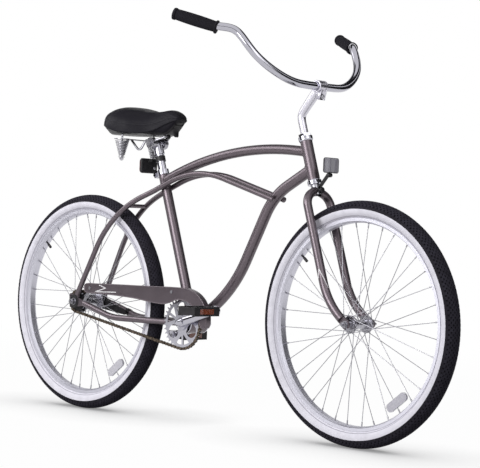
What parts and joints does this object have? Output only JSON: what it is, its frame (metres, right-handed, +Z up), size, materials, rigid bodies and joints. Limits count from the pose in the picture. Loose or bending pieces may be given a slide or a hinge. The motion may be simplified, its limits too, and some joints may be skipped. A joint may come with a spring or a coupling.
{
  "type": "beach cruiser bicycle",
  "caption": "Beach cruiser bicycle with a bent-tube cantilever frame, swept handlebar, sprung saddle, chain guard, coaster brake and fat whitewall tyres.",
  "frame": {"origin": "on the ground, midway between the wheels", "axes": "+X forward, +Y to the rider's left, +Z up; the drive side is at -Y"},
  "size_m": [1.7577, 0.7152, 1.1631],
  "materials": {
    "frame_paint": "satin",
    "plated_steel": "satin",
    "chrome": "polished",
    "chain_steel": "satin",
    "black_steel": "satin",
    "alloy": "satin",
    "tyre_rubber": "matte",
    "tube_rubber": "matte",
    "grip_rubber": "matte",
    "black_resin": "matte",
    "amber_lens": "gloss",
    "red_lens": "gloss",
    "clear_lens": "gloss",
    "saddle_vinyl": "satin"
  },
  "bodies": {
    "frame": {"head_tube": "frame_paint", "top_tube": "frame_paint", "down_tube": "frame_paint", "seat_tube": "frame_paint", "bottom_bracket_shell": "frame_paint", "cantilever_tube_right": "frame_paint", "cantilever_tube_left": "frame_paint", "chain_stay_right": "frame_paint", "chain_stay_left": "frame_paint", "stay_bridges": "frame_paint", "bearings": "chrome", "seat_collar": "chrome", "chain_guard": "frame_paint", "chain_guard_mounts": "plated_steel", "rear_axle": "plated_steel", "brake_arm": "black_steel", "chain": "chain_steel"},
    "fork": {"steerer_tube": "plated_steel", "fork_blade_right": "frame_paint", "fork_blade_left": "frame_paint", "headset_races": "chrome", "front_axle": "plated_steel", "front_reflector_bracket": "black_resin", "front_reflector": "clear_lens"},
    "stem": {"stem": "chrome", "stem_bolts": "plated_steel"},
    "handlebar": {"handlebar": "chrome", "grip_right": "grip_rubber", "grip_left": "grip_rubber"},
    "front_wheel": {"front_tyre": "tyre_rubber", "front_rim": "alloy", "front_spokes": "plated_steel", "front_hub": "alloy", "front_inner_tube": "tube_rubber", "front_spoke_reflector": "clear_lens"},
    "rear_wheel": {"rear_tyre": "tyre_rubber", "rear_rim": "alloy", "rear_spokes": "plated_steel", "rear_hub_shell": "alloy", "rear_inner_tube": "tube_rubber", "rear_spoke_reflector": "clear_lens"},
    "driver": {"driver_sprocket": "plated_steel"},
    "crankset": {"crank": "chrome", "chainring": "chrome", "crank_cones": "plated_steel", "pedal_spindles": "plated_steel"},
    "pedal_right": {"pedal_right": "black_resin", "pedal_reflectors_right": "amber_lens"},
    "pedal_left": {"pedal_left": "black_resin", "pedal_reflectors_left": "amber_lens"},
    "seat_post": {"seat_post": "chrome", "rear_reflector_bracket": "black_resin", "rear_reflector": "red_lens"},
    "saddle_frame": {"saddle_clamp": "plated_steel", "saddle_rails": "plated_steel", "saddle_springs": "plated_steel"},
    "saddle_top": {"saddle_base": "black_steel", "spring_rods": "plated_steel", "saddle_cover": "saddle_vinyl"}
  },
  "joints": [
    {"name": "steer", "type": "hinge", "parent": "frame", "child": "fork", "pos_m": [0.36935, 0, 0.71694], "axis": [-0.309, 0, 0.9511], "range_deg": [-65, 65]},
    {"name": "front_wheel_spin", "type": "hinge", "parent": "fork", "child": "front_wheel", "pos_m": [0.547, 0, 0.332], "axis": [0, 1, 0], "continuous": true},
    {"name": "stem_height", "type": "slide", "parent": "fork", "child": "stem", "axis": [-0.309, 0, 0.9511], "range_m": [0, 0.03]},
    {"name": "handlebar_tilt", "type": "hinge", "parent": "stem", "child": "handlebar", "pos_m": [0.37766, 0, 0.97408], "axis": [0, 1, 0], "range_deg": [-20, 20]},
    {"name": "rear_wheel_spin", "type": "hinge", "parent": "frame", "child": "rear_wheel", "pos_m": [-0.547, 0, 0.332], "axis": [0, 1, 0], "continuous": true},
    {"name": "crank_spin", "type": "hinge", "parent": "frame", "child": "crankset", "pos_m": [-0.08047, 0, 0.293], "axis": [0, 1, 0], "continuous": true, "deforming": ["chain"]},
    {"name": "sprocket_spin", "type": "hinge", "parent": "frame", "child": "driver", "pos_m": [-0.547, 0, 0.332], "axis": [0, 1, 0], "continuous": true},
    {"name": "pedal_right_spin", "type": "hinge", "parent": "crankset", "child": "pedal_right", "pos_m": [0.07773, -0.0735, 0.33986], "axis": [0, 1, 0], "continuous": true},
    {"name": "pedal_left_spin", "type": "hinge", "parent": "crankset", "child": "pedal_left", "pos_m": [-0.23868, 0.0735, 0.24614], "axis": [0, 1, 0], "continuous": true},
    {"name": "seatpost_height", "type": "slide", "parent": "frame", "child": "seat_post", "axis": [-0.3256, 0, 0.9455], "range_m": [-0.02, 0.06]},
    {"name": "saddle_tilt", "type": "hinge", "parent": "seat_post", "child": "saddle_frame", "pos_m": [-0.26247, 0, 0.82154], "axis": [0, 1, 0], "range_deg": [-10, 10]},
    {"name": "saddle_bounce", "type": "hinge", "parent": "saddle_frame", "child": "saddle_top", "pos_m": [-0.21847, 0, 0.84154], "axis": [0, -1, 0], "range_deg": [0, 4], "stiffness_Nm_per_rad": 1600, "springref_deg": -0.29, "deforming": ["saddle_springs"]}
  ],
  "couplings": [
    {"joint": "sprocket_spin", "follows": "crank_spin", "ratio": 2.25}
  ]
}
